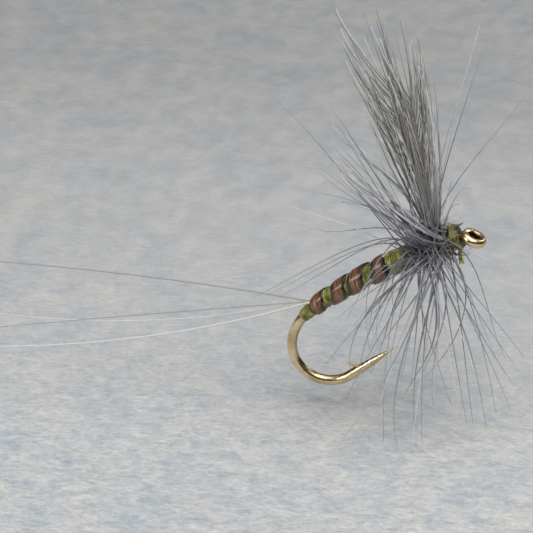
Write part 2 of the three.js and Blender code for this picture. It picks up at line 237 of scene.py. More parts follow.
class Strands:
    """Many closed tapered tubes gathered into one mesh. Each vertex keeps how far along its strand it is
    and that strand's own shade, for the materials to read."""

    def __init__(self):
        self.points = []
        self.faces = []
        self.smooth = []
        self.along = []
        self.shade = []

    def add(self, line, radii, sides=6, shade=0.5, flat=1.0, side=None, smooth=True):
        """A tube along a list of points. flat is its thickness over its width, and side the direction of its
        width. shade is a number, or a rule that gives one from the share of the tube, the place and the
        way out of it."""
        first = len(self.points)
        last = len(line) - 1
        across = Vector(side) if side else ANY_SIDE
        for i, spot in enumerate(line):
            tangent = (line[min(i + 1, last)] - line[max(i - 1, 0)]).normalized()
            across = (across - tangent * across.dot(tangent)).normalized()
            over = tangent.cross(across)
            for k in range(sides):
                turn = 2 * math.pi * k / sides
                out = across * math.cos(turn) + over * flat * math.sin(turn)
                self.points.append(spot + out * radii[i])
                self.along.append(i / last)
                self.shade.append(shade(i / last, spot, out) if callable(shade) else shade)
        for i in range(last):
            row = first + i * sides
            for k in range(sides):
                after = (k + 1) % sides
                self.faces.append((row + k, row + after, row + sides + after, row + sides + k))
        self.faces.append(tuple(first + k for k in reversed(range(sides))))
        self.faces.append(tuple(first + last * sides + k for k in range(sides)))
        self.smooth += [smooth] * (last * sides + 2)

    def piece(self, name, made_of):
        return piece(name, self.points, self.faces, made_of, self.smooth, along=self.along, shade=self.shade)


def piece(name, points, faces, made_of, smooth=None, **attributes):
    """A mesh object from points in millimetres."""
    mesh = bpy.data.meshes.new(name)
    mesh.from_pydata([tuple(point * MM) for point in points], [], faces)
    for title, values in attributes.items():
        mesh.attributes.new(title, "FLOAT", "POINT").data.foreach_set("value", values)
    mesh.polygons.foreach_set("use_smooth", smooth or [True] * len(faces))
    mesh.materials.append(made_of)
    made = bpy.data.objects.new(name, mesh)
    bpy.context.scene.collection.objects.link(made)
    return made


def tapered(root, tip, count, power=1.0):
    """Radii from root to tip."""
    return [between(root, tip, (i / (count - 1)) ** power) for i in range(count)]


def bezier(a, b, c, d, count):
    """Points on a cubic curve."""
    points = []
    for i in range(count):
        t = i / (count - 1)
        u = 1 - t
        points.append(a * u**3 + b * (3 * u * u * t) + c * (3 * u * t * t) + d * t**3)
    return points


# ---- materials ----
class Recipe:
    """A material with a Principled shader, and short calls for the nodes that feed it."""

    def __init__(self, name, **sockets):
        self.material = bpy.data.materials.new(name)
        self.material.use_nodes = True
        self.tree = self.material.node_tree
        self.shader = self.tree.nodes["Principled BSDF"]
        for title, value in sockets.items():
            self.shader.inputs[title.replace("_", " ")].default_value = value

    def node(self, kind, inputs, **settings):
        made = self.tree.nodes.new("ShaderNode" + kind)
        for title, value in settings.items():
            setattr(made, title, value)
        for title, value in inputs.items():
            self.feed(value, made.inputs[title])
        return made

    def feed(self, value, socket):
        if isinstance(value, bpy.types.NodeSocket):
            self.tree.links.new(value, socket)
        else:
            socket.default_value = value

    def attribute(self, name):
        return self.node("Attribute", {}, attribute_name=name).outputs["Fac"]

    def place(self, stretch=(1, 1, 1), turn=(0, 0, 0)):
        """Object coordinates in millimetres, stretched."""
        spot = self.node("TexCoord", {}).outputs["Object"]
        scale = tuple(k / MM for k in stretch)
        return self.node("Mapping", {"Vector": spot, "Scale": scale, "Rotation": turn}).outputs["Vector"]

    def noise(self, vector, scale, detail=2.0, roughness=0.5, distortion=0.0):
        sockets = {"Vector": vector, "Scale": scale, "Detail": detail}
        sockets.update({"Roughness": roughness, "Distortion": distortion})
        return self.node("TexNoise", sockets).outputs["Fac"]

    def math(self, operation, a, b, clamp=False):
        return self.node("Math", {0: a, 1: b}, operation=operation, use_clamp=clamp).outputs[0]

    def ramp(self, share, *stops):
        """Colours or greys at places from 0 to 1."""
        made = self.node("ValToRGB", {"Fac": share})
        band = made.color_ramp.elements
        while len(band) < len(stops):
            band.new(0.5)
        for mark, (place, colour) in zip(band, stops):
            mark.position = place
            mark.color = (*colour, 1) if isinstance(colour, tuple) else (colour, colour, colour, 1)
        return made.outputs["Color"]

    def mix(self, share, a, b, blend="MIX"):
        made = self.node("Mix", {0: share}, data_type="RGBA", blend_type=blend)
        self.feed(a, made.inputs[6])
        self.feed(b, made.inputs[7])
        return made.outputs[2]

    def colour(self, value):
        self.feed(value, self.shader.inputs["Base Color"])

    def roughness(self, value):
        self.feed(value, self.shader.inputs["Roughness"])

    def bump(self, height, distance, strength=1.0):
        sockets = {"Height": height, "Distance": distance * MM, "Strength": strength}
        self.feed(self.node("Bump", sockets).outputs["Normal"], self.shader.inputs["Normal"])


def bronzed_steel():
    """Polished wire with a thin bronze lacquer, drawn along its length, with a painted highlight along one side,
    painted shade on the other and painted shade inside the eye. The shade attribute says how bright the lacquer is
    painted."""
    made = Recipe("bronzed_steel", Metallic=1.0, Coat_Weight=0.25, Coat_Roughness=0.06)
    patches = made.noise(made.place(), 1.6, 3)
    lacquer = made.ramp(
        patches,
        (0.3, (0.56, 0.40, 0.20)),
        (0.55, (0.76, 0.60, 0.34)),
        (0.75, (0.86, 0.74, 0.48)),
    )
    # painted light: painted shade inside the eye and on one side, brightest along the painted highlight
    painted_light = made.ramp(
        made.attribute("shade"),
        (0, (0.06, 0.035, 0.02)),
        (0.5, (0.36, 0.345, 0.33)),
        (0.85, 1.0),
        (1, 1.1),
    )
    made.colour(made.mix(1.0, lacquer, painted_light, "MULTIPLY"))
    made.roughness(made.ramp(made.noise(made.place(), 9, 4), (0.3, 0.1), (0.75, 0.24)))
    made.bump(made.noise(made.place((3, 14, 3)), 2.5, 4), 0.008)
    return made.material


def olive_thread():
    """Waxed tying thread, light and dark in patches of wax. A shade of 1 is fully lit thread; 0 is painted
    shade, and 2, as bright as it goes, is painted light brighter than the thread's own colour."""
    made = Recipe("olive_thread", Coat_Weight=0.3, Coat_Roughness=0.25, Specular_IOR_Level=0.5)
    wax = made.noise(made.place(), 3.4, 4, 0.7)
    body = made.ramp(
        wax,
        (0.32, (0.06, 0.058, 0.012)),
        (0.46, (0.21, 0.205, 0.036)),
        (0.58, (0.40, 0.39, 0.085)),
        (0.72, (0.68, 0.65, 0.22)),
    )
    half = made.math("MULTIPLY", made.attribute("shade"), 0.5)
    shade = made.ramp(half, (0, 0.10), (0.25, 0.62), (0.5, 1.0), (1, 1.9))
    made.colour(made.mix(1.0, body, shade, "MULTIPLY"))
    made.roughness(made.ramp(wax, (0.3, 0.3), (0.7, 0.5)))
    made.bump(made.noise(made.place(), 22, 3), 0.015)
    return made.material


def brown_quill():
    """Varnished quill: chestnut, lighter down its middle and near-black at its edges, partly its own dark edges
    and partly painted shade where they turn down onto the thread, and streaks along the strip.
    """
    made = Recipe("brown_quill", Coat_Weight=0.6, Coat_Roughness=0.15, Specular_IOR_Level=0.5)
    along = made.math("MULTIPLY", made.attribute("along"), 11.0)
    across = made.math("MULTIPLY", made.attribute("across"), 3.2)
    spot = made.node("CombineXYZ", {"X": along, "Y": across}).outputs[0]
    streaks = made.noise(spot, 1.5, 5, 0.62)
    body = made.ramp(
        streaks,
        (0.30, (0.030, 0.011, 0.004)),
        (0.45, (0.13, 0.048, 0.018)),
        (0.58, (0.28, 0.12, 0.052)),
        (0.72, (0.52, 0.30, 0.17)),
    )
    # near-black edges: partly the quill's own, partly painted shade in the crease against the thread
    edge = made.math("ABSOLUTE", made.attribute("across"), 0.0)
    shade = made.ramp(edge, (0.0, 1.15), (0.52, 0.82), (0.7, 0.3), (0.86, 0.02))
    made.colour(made.mix(1.0, body, shade, "MULTIPLY"))
    made.roughness(made.ramp(streaks, (0.3, 0.18), (0.75, 0.36)))
    made.bump(streaks, 0.03)
    return made.material


def feather(name, root, middle, tip, pale):
    """Keratin barbs: a colour at the root, along the barb and at the tip, with paler barbs among them, partly
    their own tone and partly painted glints. A shade below zero is a dark stem, and in the hackle's collar
    also painted shade deep among the barbs."""
    made = Recipe(name, Specular_IOR_Level=0.6, Sheen_Weight=0.1, Coat_Weight=0.3, Coat_Roughness=0.18)
    grain = made.noise(made.place(), 4.5, 3)
    along = made.math("ADD", made.attribute("along"), made.math("MULTIPLY", grain, 0.25))
    body = made.ramp(along, (0.1, root), (0.6, middle), (1.1, tip))
    shade = made.attribute("shade")
    # below zero darkens toward a stem's colour: a real dark stem, and in the hackle's collar also painted shade
    stem = made.ramp(made.math("ADD", shade, 1.0), (0.0, (0.3, 0.24, 0.19)), (1.0, 1.0))
    toned = made.mix(1.0, body, stem, "MULTIPLY")
    # paleness: partly the barbs' own tone, partly painted glints along them
    light = made.ramp(shade, (0.0, 0.0), (0.55, 0.12), (0.78, 0.4), (0.97, 1.0))
    share = made.math("MULTIPLY", light, made.ramp(along, (0.2, PALE_AT_ROOT), (0.75, 1.0)))
    made.colour(made.mix(share, toned, (*pale, 1)))
    made.roughness(made.ramp(grain, (0.3, 0.28), (0.7, 0.48)))
    made.bump(made.noise(made.place(), 30, 2), 0.004)
    return made.material


def paper():
    """Pale blue-grey paper with soft mottling and felted fibres, calmer toward the back, and with a painted
    falloff of light: painted shade darkening it toward the back, a little brighter at the front.
    """
    made = Recipe("paper", Specular_IOR_Level=0.2)
    depth = made.node("SeparateXYZ", {"Vector": made.place()}).outputs["Y"]
    span = {"Value": depth, "From Min": PAPER_FRONT, "From Max": PAPER_BACK}
    back = made.node("MapRange", span).outputs["Result"]
    cloud = made.noise(made.place((1, 0.7, 1)), 0.22, 3, 0.6)
    felt = made.noise(made.place((0.8, 1.3, 1), (0, 0, 0.25)), 0.9, 5, 0.7, 0.6)
    fine = made.noise(made.place((0.8, 1.5, 1), (0, 0, -0.2)), 2.6, 4, 0.78, 0.4)
    pulp = made.math("ADD", made.math("MULTIPLY", felt, 0.5), made.math("MULTIPLY", fine, 0.5))
    lively = made.ramp(
        pulp,
        (0.36, (0.385, 0.455, 0.515)),
        (0.5, (0.60, 0.615, 0.62)),
        (0.64, (0.80, 0.775, 0.735)),
    )
    soft = made.noise(made.place((0.8, 0.6, 1)), 0.75, 2, 0.55, 0.3)
    calm = made.ramp(soft, (0.34, (0.535, 0.546, 0.556)), (0.66, (0.645, 0.641, 0.635)))
    body = made.mix(made.ramp(back, (0.3, 0.0), (0.68, 0.85)), lively, calm)
    tint = made.ramp(cloud, (0.36, (0.90, 0.93, 0.965)), (0.62, (1.02, 1.0, 0.98)))
    toned = made.mix(1.0, body, tint, "MULTIPLY")
    front = made.ramp(back, (0.35, 1.0), (0.75, 0.1))
    for size, slant, strength, colour in PAPER_FIBRES:
        coil = made.noise(made.place((0.5, 1.3, 1), (0, 0, slant)), size, 1, 0.4, 0.3)
        off = made.math("ABSOLUTE", made.math("SUBTRACT", coil, 0.5), 0.0)
        line = made.ramp(off, (0.0, strength), (FIBRE_BREADTH, 0.0))
        toned = made.mix(made.math("MULTIPLY", line, front), toned, (*colour, 1))
    # painted falloff of light: brighter at the front, painted shade toward the back
    painted_falloff = made.ramp(back, (0.0, 1.06), (0.3, 1.045), (0.42, 1.0), (0.57, 0.965), (0.73, 0.94), (1.0, 0.78))
    made.colour(made.mix(1.0, toned, painted_falloff, "MULTIPLY"))
    made.roughness(made.ramp(pulp, (0.3, 0.8), (0.7, 0.95)))
    made.bump(pulp, 0.2)
    return made.material


BRONZED_STEEL = bronzed_steel()
OLIVE_THREAD = olive_thread()
BROWN_QUILL = brown_quill()
HACKLE_FEATHER = feather(
    "hackle_feather", (0.195, 0.195, 0.222), (0.235, 0.24, 0.265), (0.34, 0.346, 0.366), (0.90, 0.90, 0.91)
)
WING_FEATHER = feather(
    "wing_feather", (0.27, 0.265, 0.28), (0.43, 0.41, 0.385), (0.38, 0.36, 0.33), (0.97, 0.96, 0.93)
)
TAIL_DARK = feather(
    "tail_fibre_grey", (0.48, 0.47, 0.45), (0.38, 0.38, 0.375), (0.36, 0.36, 0.36), (0.7, 0.7, 0.68)
)
TAIL_PALE = feather(
    "tail_fibre_pale", (0.78, 0.76, 0.66), (0.85, 0.84, 0.80), (0.88, 0.88, 0.86), (0.9, 0.9, 0.88)
)


# ---- hook ----
def eye_ring(turn):
    """A point on the middle of the eye's wire."""
    ahead = Vector((math.cos(EYE_TILT), 0, math.sin(EYE_TILT)))
    return EYE_CENTRE + (ahead * math.cos(turn) + FAR * math.sin(turn)) * EYE_RING_RADIUS


def painted_wire_light(_, spot, out):
    """Painted light on the wire: a painted highlight along one side and painted shade on the other, falling to 0,
    painted shade, on the faces that look into the eye.
    """
    inward = EYE_CENTRE - spot
    way = out.normalized()
    if inward.length > EYE_REACH * EYE_RING_RADIUS:
        # painted highlight along one side of the wire, painted shade on the other
        return 1 - 0.5 * PAINTED_SHADE_DEPTH * (1 - way.dot(PAINTED_HIGHLIGHT_SIDE))
    # painted shade on the faces of the eye's wire that look into the hole
    facing = (way.dot(inward.normalized()) - EYE_LIT) / (EYE_DARK - EYE_LIT)
    return 1 - min(max(facing, 0), 1)


def hook():
    """One wire: its cut end, round the eye, into the shank, round the bend and out to the ground point."""
    loop = [eye_ring(between(EYE_END, EYE_START, i / EYE_STEPS)) for i in range(EYE_STEPS + 1)]
    leaving = (loop[-1] - loop[-2]).normalized()
    shank_start, along, _ = on_wire(SHANK_START)
    neck = bezier(loop[-1], loop[-1] + leaving * 0.2, shank_start - along * 0.3, shank_start, NECK_POINTS)
    places = [between(SHANK_START, WIRE_LENGTH, i / SHANK_STEPS) for i in range(SHANK_STEPS + 1)]
    shank = [on_wire(s)[0] for s in places]
    line = loop + neck[1:] + shank[1:]
    ends = tapered(CUT_END_RADIUS, EYE_WIRE_RADIUS, 6, 0.5)
    radii = ends + [EYE_WIRE_RADIUS] * (len(loop) - len(ends))
    radii += tapered(EYE_WIRE_RADIUS, WIRE_RADIUS, len(neck))[1:]
    for i in range(1, SHANK_STEPS + 1):
        to_tip = (WIRE_LENGTH - SHANK_START) * (1 - i / SHANK_STEPS)
        radii.append(WIRE_RADIUS * stepped(POINT_TAPER, to_tip))
    wire = Strands()
    wire.add(line, radii, sides=WIRE_SIDES, side=FAR, shade=painted_wire_light)

    foot, run, outer = on_wire(WIRE_LENGTH - BARB_FROM_POINT)
    slope = Vector((math.cos(BARB_ANGLE), 0, math.sin(BARB_ANGLE)))
    root = foot - outer * 0.02 + run * 0.15
    barb = [root + slope * BARB_LENGTH * share for share, _ in BARB_TAPER]
    barb_radii = [radius for _, radius in BARB_TAPER]
    wire.add(barb, barb_radii, sides=4, side=FAR, flat=0.8, smooth=False, shade=BARB_SHADE)
    made = wire.piece("hook_wire", BRONZED_STEEL)
    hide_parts("hook")
    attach(made, "dressed_hook")


# ---- thread ----
def wound(strands, ends, radius_at, chance, bright):
    """One thread wound round the wire over a core that closes the gaps between its turns, painted near-black as
    painted shade in those gaps.
    """
    start_s, end_s = ends
    turns = (end_s - start_s) / THREAD_PITCH
    steps = round(turns * THREAD_STEPS)
    tones = [chance.uniform(0.45, 1) for _ in range(round(turns) + 2)]
    line = []
    for i in range(steps + 1):
        share = i / steps
        s = between(start_s + THREAD_RADIUS, end_s - THREAD_RADIUS, share)
        sway = THREAD_SWAY * math.sin(37 * share) + chance.uniform(-THREAD_SHAKE, THREAD_SHAKE)
        radius = radius_at(s) - THREAD_RADIUS + sway
        line.append(beside_wire(s + sway, radius, 2 * math.pi * turns * share))

    def tone(share, *_):
        return bright * tones[int(share * turns)]

    strands.add(line, [THREAD_RADIUS] * len(line), sides=6, shade=tone)
    places = [between(start_s, end_s, i / CORE_ROWS) for i in range(CORE_ROWS + 1)]
    core = [on_wire(s)[0] for s in places]
    # shade 0: the core is painted dark, painted shade between the turns
    strands.add(core, [radius_at(s) - 1.5 * THREAD_RADIUS for s in places], sides=20, shade=0.0)


def head_radius(s):
    share = (s - HEAD[0]) / (HEAD[1] - HEAD[0])
    swell = math.sin(math.pi * min(max(share, 0), 1)) ** 0.7
    return HEAD_RADIUS * between(HEAD_ENDS, 1, swell)


def thorax_radius(s):
    """Slim under the hackle, and swollen behind it."""
    if s < THORAX_STEP:
        return THORAX_FRONT_RADIUS
    back = (s - THORAX_STEP) / (THORAX[1] - THORAX_STEP)
    return THORAX_REAR_RADIUS + THORAX_SWELL * math.sin(math.pi * min(back, 1)) ** 0.5


def underbody_radius(s):
    """Fullest under the front turn of quill."""
    forward = (UNDERBODY[1] - s) / (UNDERBODY[1] - UNDERBODY[0])
    return between(UNDERBODY_REAR_RADIUS, UNDERBODY_FRONT_RADIUS, min(max(forward, 0), 1) ** 0.8)


def tag_radius(s):
    share = (s - TAG[0]) / (TAG[1] - TAG[0])
    return between(TAG_FRONT_RADIUS, TAG_REAR_RADIUS, min(max(share, 0), 1) ** 1.5)


def thread():
    """The body's windings, with a few crossing turns where the hand went back over them."""
    chance = random.Random(THREAD_SEED)
    runs = (
        # node, ends, radius, brightness
        ("thread_head", HEAD, head_radius, 0.45),
        ("thread_thorax", THORAX, thorax_radius, 1.25),
        ("thread_underbody", UNDERBODY, underbody_radius, 1.0),
        ("thread_tag", TAG, tag_radius, 1.15),
    )
    for name, ends, radius_at, bright in runs:
        strands = Strands()
        wound(strands, ends, radius_at, chance, bright)
        if name != "thread_tag":
            crossings(strands, ends, radius_at, chance, bright)
        made = strands.piece(name + "_windings", OLIVE_THREAD)
        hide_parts(name)
        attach(made, "dressed_hook")


def crossings(strands, ends, radius_at, chance, bright):
    """Steeper turns laid over the close ones."""
    length = ends[1] - ends[0]
    for _ in range(round(2 + CROSSINGS_PER_MM * length)):
        reach = min(chance.uniform(0.25, 0.7), 0.8 * length)
        middle = chance.uniform(ends[0] + reach / 2, ends[1] - reach / 2)
        start = chance.uniform(0, 2 * math.pi)
        line = []
        for i in range(CROSSING_STEPS + 1):
            share = i / CROSSING_STEPS
            s = middle + reach * (share - 0.5)
            line.append(beside_wire(s, radius_at(s) - 0.1 * THREAD_RADIUS, start + 1.5 * math.pi * share))
        strands.add(line, [0.8 * THREAD_RADIUS] * len(line), sides=6, shade=bright)


def thread_end():
    """The cut end of the thread under the head, fraying into its filaments, with painted light making it
    brighter than the thread.
    """
    chance = random.Random(FRAY_SEED)
    low, high = (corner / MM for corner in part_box("thread_end"))
    top = Vector(((low.x + high.x) / 2 - 0.05, (low.y + high.y) / 2, high.z + 0.08))
    strands = Strands()
    for i in range(FRAYS):
        turn = 2 * math.pi * i / FRAYS
        start = top + Vector((math.cos(turn), math.sin(turn), 0)) * FRAY_RING
        fan = Vector((chance.uniform(-0.02, 0.2), chance.uniform(-0.12, 0.06), -chance.uniform(0.75, 0.95)))
        line = bezier(start, start - UP * 0.25, start - UP * 0.45 + fan * 0.1, start + fan, 9)
        # shade 2: painted light, brighter than the thread's own colour
        strands.add(line, tapered(0.06, 0.045, len(line)), sides=6, shade=2.0)
    made = strands.piece("thread_end_frayed", OLIVE_THREAD)
    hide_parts("thread_end")
    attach(made, "dressed_hook")


# ---- quill ----
def quill():
    """One strip wound in open turns: crowned, with its edges turned down onto the thread."""
    first = QUILL_ENDS[1] - QUILL_END_ROOM
    last = QUILL_ENDS[0] + QUILL_END_ROOM
    turns = (first - last) / QUILL_PITCH
    rows = round(turns * QUILL_STEPS)
    columns = QUILL_COLUMNS
    points, faces, along, across = [], [], [], []
    for i in range(rows + 1):
        share = i / rows
        middle = between(first, last, share)
        laid = middle - QUILL_UNEVEN * math.sin(math.pi * (middle - QUILL_CLOSE) / QUILL_PITCH)
        angle = math.pi / 2 + 2 * math.pi * (middle - QUILL_NEAR_SIDE) / QUILL_PITCH
        waver = 0.03 * math.sin(9 * angle / 2) + 0.02 * math.sin(31 * share)
        for top in (True, False):
            order = range(columns + 1) if top else reversed(range(columns + 1))
            for k in order:
                place = 2 * k / columns - 1
                s = laid - place * (QUILL_WIDTH / 2 + waver)
                s = min(max(s, QUILL_ENDS[0]), QUILL_ENDS[1])
                rise = QUILL_THICKNESS + QUILL_CROWN * (1 - place**4) if top else 0
                points.append(beside_wire(s, underbody_radius(s) + QUILL_OFF_THREAD + rise, angle))
                along.append(share)
                across.append(place)
    ring = 2 * (columns + 1)
    for i in range(rows):
        for k in range(ring):
            after = (k + 1) % ring
            here = i * ring
            faces.append((here + k, here + ring + k, here + ring + after, here + after))
    faces.append(tuple(range(ring)))
    faces.append(tuple(rows * ring + k for k in reversed(range(ring))))
    made = piece("quill_strip", points, faces, BROWN_QUILL, along=along, across=across)
    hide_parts("body_quill")
    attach(made, "dressed_hook")


# ---- butts, which the thread covers ----
def butts():
    covered = {"tail_butts": TAIL_DARK, "wing_butts": WING_FEATHER, "hackle_butt": HACKLE_FEATHER}
    for name, made_of in covered.items():
        node = frame["nodes"][name]
        node.data.materials.clear()
        node.data.materials.append(made_of)


# ---- tail ----
TAIL_FIBRES = (
    # slope and heading in degrees where the fibre leaves the body and at its tip
    {"body": "tail_1", "slope": (-1, 1), "splay": (11, -5),
     "length": 20.4, "radius": 0.058, "of": TAIL_DARK},
    {"body": "tail_2", "slope": (-13, -6.5), "splay": (5, -11),
     "length": 20.8, "radius": 0.042, "of": TAIL_DARK},
    {"body": "tail_3", "slope": (-20, 0), "splay": (-7, -7),
     "length": 21, "radius": 0.062, "of": TAIL_PALE},
    {"body": "tail_4", "slope": (-26, 0.5), "splay": (16, 2),
     "length": 20.6, "radius": 0.04, "of": TAIL_PALE},
)
TAIL_STEPS = 40
TAIL_TIP_SHARE = 0.4  # of the radius at the root
TAIL_SHADE = 0.3


def tail():
    for fibre in TAIL_FIBRES:
        root = TIE_INS[fibre["body"]]
        line = [root + Vector((0.5, 0, 0.1)), root]
        for i in range(TAIL_STEPS):
            share = (i + 0.5) / TAIL_STEPS
            pitch = math.radians(between(*fibre["slope"], share))
            yaw = math.radians(between(*fibre["splay"], share))
            level = math.cos(pitch)
            step = Vector((-level * math.cos(yaw), level * math.sin(yaw), math.sin(pitch)))
            line.append(line[-1] + step * fibre["length"] / TAIL_STEPS)
        radii = tapered(fibre["radius"], TAIL_TIP_SHARE * fibre["radius"], len(line))
        strands = Strands()
        strands.add(line, radii, sides=8, shade=TAIL_SHADE)
        made = strands.piece(fibre["body"] + "_fibre", fibre["of"])
        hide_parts(fibre["body"].replace("tail", "tail_fibre"))
        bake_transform(made)


# ---- wing ----
WING_FEATHERS = (
    # tip from the head's middle, how far the stem bows forward, and how far barbs stand behind and before it
    {"body": "wing_near", "side": -0.35, "tip": (-3.6, 12.2),
     "bow": 0.4, "rear": 1.05, "front": 1.2, "seed": 3},
    {"body": "wing_far", "side": 0.35, "tip": (-5.6, 13.3),
     "bow": 0.15, "rear": 1.75, "front": 0.8, "seed": 4},
)
WING_BARBS = 54  # along each edge of a feather
WING_OUTLINE = ((0, 0.36), (0.12, 0.6), (0.3, 0.85), (0.5, 1), (1.1, 1))  # height, share of the width
WING_STEM_POINTS = 61
WING_LOW_BARBS = 0.3  # share of them that leave at the foot of the stem
WING_CROWDING = 0.8  # how far those leave the thorax side by side
WING_TOP_FOOT = 0.66  # height where the last barbs leave the stem
WING_BARB_STEPS = 10
WING_BARB_TIP_RADIUS = 0.017
WING_BARB_LENGTH = 9.8
# shades of the barbs: below zero darker, the palest partly painted glints
WING_BARB_TONES = (-0.7, -0.45, 0.0, 0.4, 0.8, 1.0)
WING_STEM = (0.07, 0.008)


def stem_shade(share, *_):
    """Dark at the foot, and no darker than the barbs at the tip."""
    return 1.2 * share - 1


def wing():
    for each in WING_FEATHERS:
        chance = random.Random(each["seed"])
        root = TIE_INS[each["body"]].copy()
        tip = HEAD_CENTRE + Vector((each["tip"][0], each["side"], each["tip"][1]))
        middle = (root + tip) / 2 + Vector((each["bow"], 0, 0))
        middle.y = tip.y
        low, high = between(root, middle, 2 / 3), between(tip, middle, 2 / 3)
        stem = bezier(root, low, high, tip, WING_STEM_POINTS)
        strands = Strands()
        bare = [root - UP * 0.45] + stem
        strands.add(bare, tapered(*WING_STEM, len(bare)), sides=8, shade=stem_shade, side=FAR)
        for edge, spread in ((-1, each["rear"]), (1, each["front"])):
            wing_barbs(strands, stem, edge, spread, each["side"], chance)
        made = strands.piece(each["body"] + "_feather", WING_FEATHER)
        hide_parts("wing_feather_" + each["body"].split("_")[1])
        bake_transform(made)


def wing_barbs(strands, stem, edge, spread, side, chance):
    """Long barbs along one edge of the stem: each leaves it steeply, then runs up nearly beside it."""
    last = len(stem) - 1
    height = (stem[-1] - stem[0]).length
    for i in range(WING_BARBS):
        share = (i + chance.uniform(0, 0.8)) / WING_BARBS
        foot = WING_TOP_FOOT * max(share - WING_LOW_BARBS, 0) / (1 - WING_LOW_BARBS)
        end = min(foot + WING_BARB_LENGTH * (1 - 0.5 * share) * chance.uniform(0.72, 1.08) / height, 1.04)
        end -= 0.1 * chance.random() ** 2
        place = between(0.15, 1.05, chance.random() ** 0.6)
        crowd = 0.0 if foot > 0 else WING_CROWDING
        cup = math.copysign(0.35, side) * chance.uniform(-0.4, 1.2)
        waver = chance.gauss(0, 0.03)
        line = []
        for j in range(WING_BARB_STEPS + 1):
            t = j / WING_BARB_STEPS
            at = between(foot, end, t)
            k = min(int(at * last), last - 1)
            on_stem = between(stem[k], stem[k + 1], at * last - k)
            along = (stem[k + 1] - stem[k]).normalized()
            out = Vector((-along.z, 0, along.x)) * -edge
            aside = crowd + (1 - crowd) * (1 - (1 - t) ** 1.5)
            away = spread * place * stepped(WING_OUTLINE, at) * aside + waver * math.sin(5 * t)
            line.append(on_stem + out * away + FAR * cup * t)
        thick = chance.uniform(0.027, 0.046)
        tone = chance.choice(WING_BARB_TONES)
        radii = tapered(thick, WING_BARB_TIP_RADIUS, len(line))
        strands.add(line, radii, sides=5, shade=tone, side=along.cross(out), flat=0.8)


# ---- hackle ----
HACKLE_SWEEPS = (
    # how many barbs; where on the shank; middle of their tips from the head's middle, and the tips' scatter;
    # bow and its scatter; thickness at the root
    {"count": 17, "at": 1.55, "tip": (-1.5, -1.5, -10.9), "scatter": (2.5, 3.1, 0.9),
     "bow": (-0.7, 0, 0.2), "loose": 1.4, "thick": 0.066},
    {"count": 6, "at": 2.0, "tip": (-5.2, -2.0, -6.6), "scatter": (1.0, 1.0, 1.4),
     "bow": (-1.2, -0.3, 1.6), "loose": 0.6, "thick": 0.068},
    {"count": 7, "at": 1.8, "tip": (-3.6, -2.4, -5.6), "scatter": (1.1, 0.9, 1.6),
     "bow": (-2.2, -0.8, 2.2), "loose": 0.7, "thick": 0.072},
    {"count": 6, "at": 0.8, "tip": (2.9, -1.4, -7.6), "scatter": (0.6, 1.6, 1.2),
     "bow": (0.2, 0, 0.6), "loose": 0.3, "thick": 0.042},
    {"count": 16, "at": 1.9, "tip": (-6.6, 0.3, 4.4), "scatter": (1.3, 2.2, 2.2),
     "bow": (0.2, 0, 0.4), "loose": 0.35, "thick": 0.054},
    {"count": 22, "at": 0.8, "tip": (-5.3, -2.2, 4.5), "scatter": (1.0, 0.25, 0.4),
     "bow": (-0.2, -0.3, -0.3), "loose": 0.16, "thick": 0.074},
    {"count": 5, "at": 1.5, "tip": (-2.6, -6.6, -3.0), "scatter": (1.6, 0.7, 1.8),
     "bow": (-0.2, 0, 0.4), "loose": 0.4, "thick": 0.05},
    {"count": 14, "at": 1.5, "tip": (-2.4, 6.4, -1.5), "scatter": (1.6, 0.8, 3.0),
     "bow": (-0.2, 0, 0.4), "loose": 0.4, "thick": 0.05},
    {"count": 12, "at": 1.3, "tip": (-1.9, -1.3, 3.6), "scatter": (1.1, 0.5, 1.2),
     "bow": (0.1, -0.2, 0), "loose": 0.25, "thick": 0.05},
    {"count": 5, "at": 1.2, "tip": (-1.6, 0.8, 7.5), "scatter": (1.2, 1.2, 1.0),
     "bow": (0.4, 0, 0), "loose": 0.3, "thick": 0.04},
)
STRAY_BARBS = (
    # tip from the head's middle, how far the barb bows up on its way, and its paleness, partly painted glint
    ((-10.1, -1.0, 8.0), 0.9, 0.3),
    ((-8.6, -2.0, 1.9), 0.8, 1.0),
    ((-7.6, 0, -0.3), 0.9, -0.3),
    ((-8.1, 1.4, 1.3), 0.8, 0.1),
    ((-6.6, 1.2, 1.0), 0.7, 0.2),
    ((3.6, 1.4, 8.6), -0.4, 0.2),
    ((0.9, 2.4, 10.6), 0.3, 0.6),
    ((0.8, 1.0, 12.2), 0.2, 1.0),
    ((4.3, -2.0, -5.9), 0.5, 0.2),
    ((3.9, -4.0, -8.2), 0.7, 0.3),
    ((-5.4, -3.0, -9.1), 0.6, 0.4),
    ((-6.8, -2.0, -7.6), 0.5, 0.2),
    ((-11.4, 0, -4.9), 0.5, 0.1),
    ((-10.6, -0.4, -4.5), 0.6, 0.3),
    ((-9.9, 0.6, -4.9), 0.5, 0.0),
    ((-5.4, -3.2, -4.0), 2.6, 0.1),
    ((-5.0, -3.4, -4.7), 2.3, 0.1),
    ((-4.1, -3.4, -5.6), 1.9, 0.2),
    ((-3.0, -3.0, -6.4), 2.2, 0.0),
    ((-2.3, -3.2, -7.4), 1.6, 0.3),
    ((1.0, -3.0, -9.3), 0.4, 1.0),
    ((1.8, -2.0, -7.7), 0.3, 1.0),
    ((-3.5, -3.0, -9.1), 0.8, 1.0),
)
STRAY_RISE = 5.5  # how much higher than its tip a stray barb sets out
STRAY_RADIUS = 0.04
STRAY_THICKENING = 0.012  # for each millimetre that it bows up
FLUE_PER_TURN = 85  # short downy barbs matted round each turn's stem


